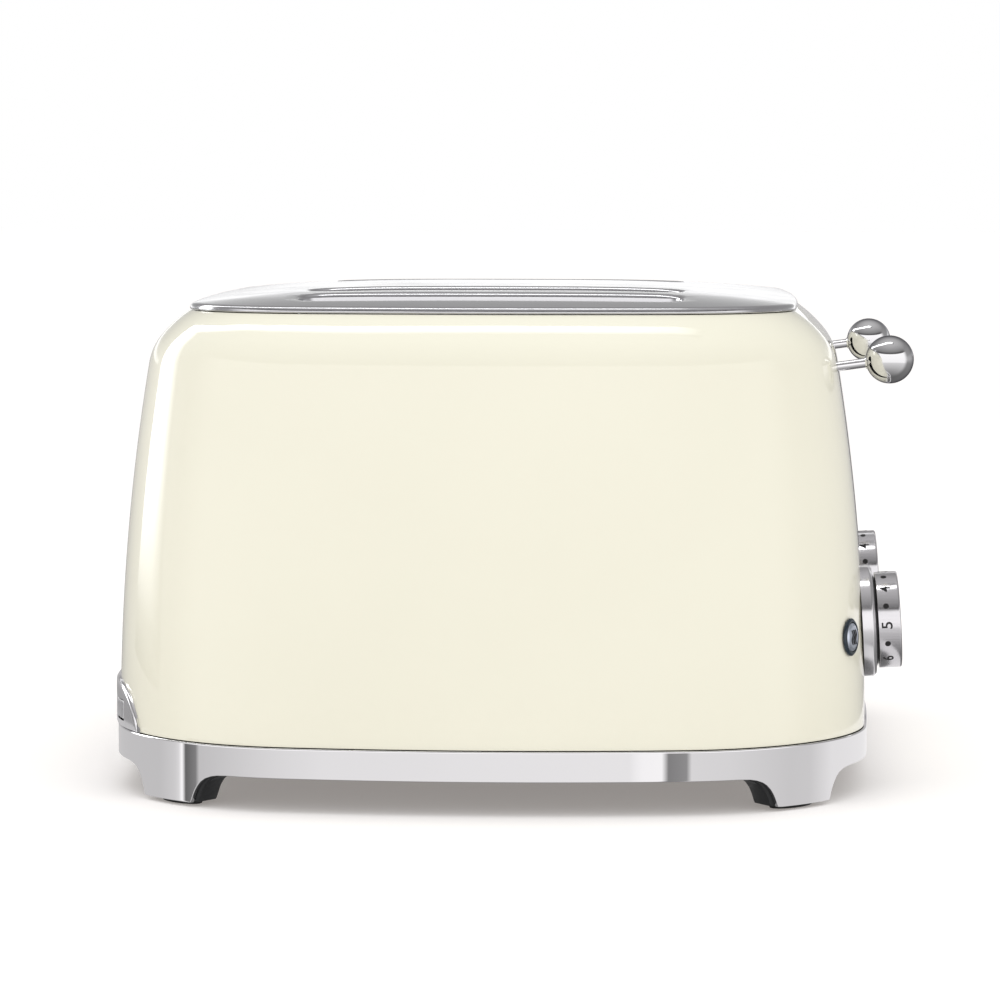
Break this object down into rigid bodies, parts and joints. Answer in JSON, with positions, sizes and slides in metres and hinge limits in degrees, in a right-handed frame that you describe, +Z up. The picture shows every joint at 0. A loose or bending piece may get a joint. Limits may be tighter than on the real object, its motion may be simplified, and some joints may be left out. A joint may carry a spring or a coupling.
{
  "type": "pop-up toaster",
  "caption": "Wide pop-up toaster with rounded cream body, domed slotted steel top, chrome base ring on corner feet, end levers with ball grips, dials, push buttons and crumb trays.",
  "frame": {"origin": "bottom centre of the overall box, on the plane the rubber foot pads stand on", "axes": "+X along the bread slots towards the end with the levers and dials, +Y across the slots away from the front wall, +Z up"},
  "size_m": [0.3369, 0.397, 0.2062],
  "materials": {
    "cream_enamel": "high-gloss cream enamel",
    "satin_steel": "satin brushed stainless steel",
    "polished_chrome": "mirror-polished chrome plate",
    "black_plastic": "fine-grained black thermoplastic",
    "rubber": "matt black rubber",
    "galvanised_steel": "zinc-plated pressed steel",
    "mica": "mica sheet with resistance ribbon",
    "dark_steel": "oiled spring and magnet steel",
    "copper_winding": "lacquered copper winding on a steel core",
    "circuit_board": "green solder-masked board",
    "dark_ring": "glossy blue-black ring",
    "button_cap": "pale silvery-blue cap"
  },
  "bodies": {
    "housing": {"outer_shell": "cream_enamel", "top_plate": "satin_steel", "base_ring": "polished_chrome", "base_pan": "black_plastic", "rear_trim": "polished_chrome", "foot_pad_front_right": "rubber", "foot_pad_rear_right": "rubber", "foot_pad_rear_left": "rubber", "foot_pad_front_left": "rubber", "frame_plate_right": "galvanised_steel", "frame_plate_left": "galvanised_steel", "heater_board_front_a": "mica", "heater_board_front_middle": "mica", "heater_board_front_b": "mica", "guide_rod_front": "polished_chrome", "return_spring_front": "dark_steel", "electromagnet_front": "copper_winding", "dial_bezel_front": "polished_chrome", "browning_control_front": "black_plastic", "control_board_front": "circuit_board", "button_ring_front_a": "dark_ring", "button_ring_front_b": "dark_ring", "heater_board_rear_a": "mica", "heater_board_rear_middle": "mica", "heater_board_rear_b": "mica", "guide_rod_rear": "polished_chrome", "return_spring_rear": "dark_steel", "electromagnet_rear": "copper_winding", "dial_bezel_rear": "polished_chrome", "browning_control_rear": "black_plastic", "control_board_rear": "circuit_board", "button_ring_rear_a": "dark_ring", "button_ring_rear_b": "dark_ring", "cord_gland": "black_plastic"},
    "carriage_front": {"carriage_front": "galvanised_steel", "armature_plate_front": "dark_steel", "lever_rod_front": "polished_chrome", "lever_ball_front": "polished_chrome"},
    "carriage_rear": {"carriage_rear": "galvanised_steel", "armature_plate_rear": "dark_steel", "lever_rod_rear": "polished_chrome", "lever_ball_rear": "polished_chrome"},
    "bread_guard_front_a_near": {"bread_guard_front_a_near": "galvanised_steel"},
    "bread_guard_front_a_far": {"bread_guard_front_a_far": "galvanised_steel"},
    "bread_guard_front_b_near": {"bread_guard_front_b_near": "galvanised_steel"},
    "bread_guard_front_b_far": {"bread_guard_front_b_far": "galvanised_steel"},
    "bread_guard_rear_a_near": {"bread_guard_rear_a_near": "galvanised_steel"},
    "bread_guard_rear_a_far": {"bread_guard_rear_a_far": "galvanised_steel"},
    "bread_guard_rear_b_near": {"bread_guard_rear_b_near": "galvanised_steel"},
    "bread_guard_rear_b_far": {"bread_guard_rear_b_far": "galvanised_steel"},
    "dial_front": {"dial_front": "satin_steel"},
    "stop_button_front": {"stop_button_front": "satin_steel"},
    "button_front_a": {"button_front_a": "button_cap"},
    "button_front_b": {"button_front_b": "button_cap"},
    "dial_rear": {"dial_rear": "satin_steel"},
    "stop_button_rear": {"stop_button_rear": "satin_steel"},
    "button_rear_a": {"button_rear_a": "button_cap"},
    "button_rear_b": {"button_rear_b": "button_cap"},
    "crumb_tray_front": {"crumb_tray_front": "satin_steel"},
    "crumb_tray_rear": {"crumb_tray_rear": "satin_steel"}
  },
  "joints": [
    {"name": "lever_front", "type": "slide", "parent": "housing", "child": "carriage_front", "axis": [0, 0, 1], "range_m": [-0.072, 0], "stiffness_N_per_m": 100, "springref_m": 0.04, "deforming": ["return_spring_front"]},
    {"name": "lever_rear", "type": "slide", "parent": "housing", "child": "carriage_rear", "axis": [0, 0, 1], "range_m": [-0.072, 0], "stiffness_N_per_m": 100, "springref_m": 0.04, "deforming": ["return_spring_rear"]},
    {"name": "guard_front_a_near", "type": "slide", "parent": "housing", "child": "bread_guard_front_a_near", "axis": [0, 1, 0], "range_m": [0, 0.006]},
    {"name": "guard_front_a_far", "type": "slide", "parent": "housing", "child": "bread_guard_front_a_far", "axis": [0, -1, 0], "range_m": [0, 0.006]},
    {"name": "guard_front_b_near", "type": "slide", "parent": "housing", "child": "bread_guard_front_b_near", "axis": [0, 1, 0], "range_m": [0, 0.006]},
    {"name": "guard_front_b_far", "type": "slide", "parent": "housing", "child": "bread_guard_front_b_far", "axis": [0, -1, 0], "range_m": [0, 0.006]},
    {"name": "guard_rear_a_near", "type": "slide", "parent": "housing", "child": "bread_guard_rear_a_near", "axis": [0, 1, 0], "range_m": [0, 0.006]},
    {"name": "guard_rear_a_far", "type": "slide", "parent": "housing", "child": "bread_guard_rear_a_far", "axis": [0, -1, 0], "range_m": [0, 0.006]},
    {"name": "guard_rear_b_near", "type": "slide", "parent": "housing", "child": "bread_guard_rear_b_near", "axis": [0, 1, 0], "range_m": [0, 0.006]},
    {"name": "guard_rear_b_far", "type": "slide", "parent": "housing", "child": "bread_guard_rear_b_far", "axis": [0, -1, 0], "range_m": [0, 0.006]},
    {"name": "dial_turn_front", "type": "hinge", "parent": "housing", "child": "dial_front", "pos_m": [0.14834, -0.0975, 0.0683], "axis": [0.9981, 0, 0.061], "range_deg": [-138, 92]},
    {"name": "stop_press_front", "type": "slide", "parent": "dial_front", "child": "stop_button_front", "axis": [-0.9981, 0, -0.061], "range_m": [0, 0.0012], "stiffness_N_per_m": 500, "springref_m": -0.001},
    {"name": "button_press_front_a", "type": "slide", "parent": "housing", "child": "button_front_a", "axis": [-0.9205, 0.3881, -0.0442], "range_m": [0, 0.0015], "stiffness_N_per_m": 400, "springref_m": -0.001},
    {"name": "button_press_front_b", "type": "slide", "parent": "housing", "child": "button_front_b", "axis": [-0.9986, 0.0292, -0.0442], "range_m": [0, 0.0015], "stiffness_N_per_m": 400, "springref_m": -0.001},
    {"name": "dial_turn_rear", "type": "hinge", "parent": "housing", "child": "dial_rear", "pos_m": [0.14834, 0.0975, 0.0683], "axis": [0.9981, 0, 0.061], "range_deg": [-138, 92]},
    {"name": "stop_press_rear", "type": "slide", "parent": "dial_rear", "child": "stop_button_rear", "axis": [-0.9981, 0, -0.061], "range_m": [0, 0.0012], "stiffness_N_per_m": 500, "springref_m": -0.001},
    {"name": "button_press_rear_a", "type": "slide", "parent": "housing", "child": "button_rear_a", "axis": [-0.9986, -0.0292, -0.0442], "range_m": [0, 0.0015], "stiffness_N_per_m": 400, "springref_m": -0.001},
    {"name": "button_press_rear_b", "type": "slide", "parent": "housing", "child": "button_rear_b", "axis": [-0.9205, -0.3881, -0.0442], "range_m": [0, 0.0015], "stiffness_N_per_m": 400, "springref_m": -0.001},
    {"name": "tray_slide_front", "type": "slide", "parent": "housing", "child": "crumb_tray_front", "axis": [-1, 0, 0], "range_m": [0, 0.2]},
    {"name": "tray_slide_rear", "type": "slide", "parent": "housing", "child": "crumb_tray_rear", "axis": [-1, 0, 0], "range_m": [0, 0.2]}
  ],
  "couplings": [
    {"joint": "guard_front_a_near", "follows": "lever_front", "ratio": -0.0833},
    {"joint": "guard_front_a_far", "follows": "lever_front", "ratio": -0.0833},
    {"joint": "guard_front_b_near", "follows": "lever_front", "ratio": -0.0833},
    {"joint": "guard_front_b_far", "follows": "lever_front", "ratio": -0.0833},
    {"joint": "guard_rear_a_near", "follows": "lever_rear", "ratio": -0.0833},
    {"joint": "guard_rear_a_far", "follows": "lever_rear", "ratio": -0.0833},
    {"joint": "guard_rear_b_near", "follows": "lever_rear", "ratio": -0.0833},
    {"joint": "guard_rear_b_far", "follows": "lever_rear", "ratio": -0.0833}
  ]
}
